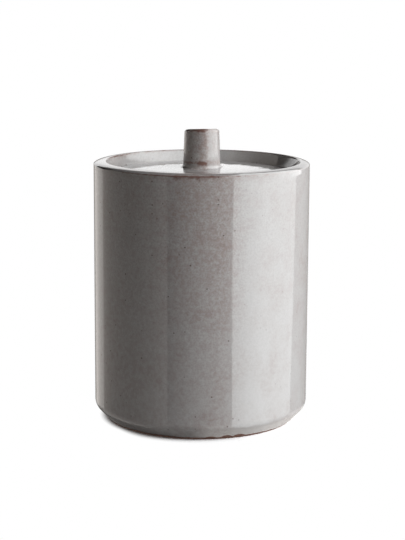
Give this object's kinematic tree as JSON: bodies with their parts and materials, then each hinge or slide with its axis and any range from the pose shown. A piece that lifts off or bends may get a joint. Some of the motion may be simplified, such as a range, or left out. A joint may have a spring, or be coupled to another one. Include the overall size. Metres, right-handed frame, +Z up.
{
  "type": "lidded ceramic canister",
  "caption": "Straight-sided glazed ceramic canister on a bevelled foot, with a low domed lid sunk into its mouth and a plain peg knob, for dry food or kitchen storage.",
  "frame": {"origin": "centre of the foot ring, on the surface that the canister stands on", "axes": "+Z up along the jar's axis, from the foot to the knob; +X and +Y are any two directions across the jar, because it is turned"},
  "size_m": [0.1208, 0.1208, 0.1633],
  "materials": {
    "grey_glaze": "glossy warm grey glaze that breaks to red-brown where it is thin, such as on edges",
    "bare_clay": "matt red clay, unglazed where pieces rest on each other or on the kiln shelf"
  },
  "bodies": {
    "jar": {"jar_wall": "grey_glaze", "jar_base": "bare_clay", "lid_seat": "bare_clay"},
    "lid": {"lid_plate": "grey_glaze", "lid_knob": "grey_glaze"}
  },
  "joints": [
    {"name": "lid_lift", "type": "slide", "parent": "jar", "child": "lid", "axis": [0, 0, 1], "range_m": [0, 0.08]}
  ]
}
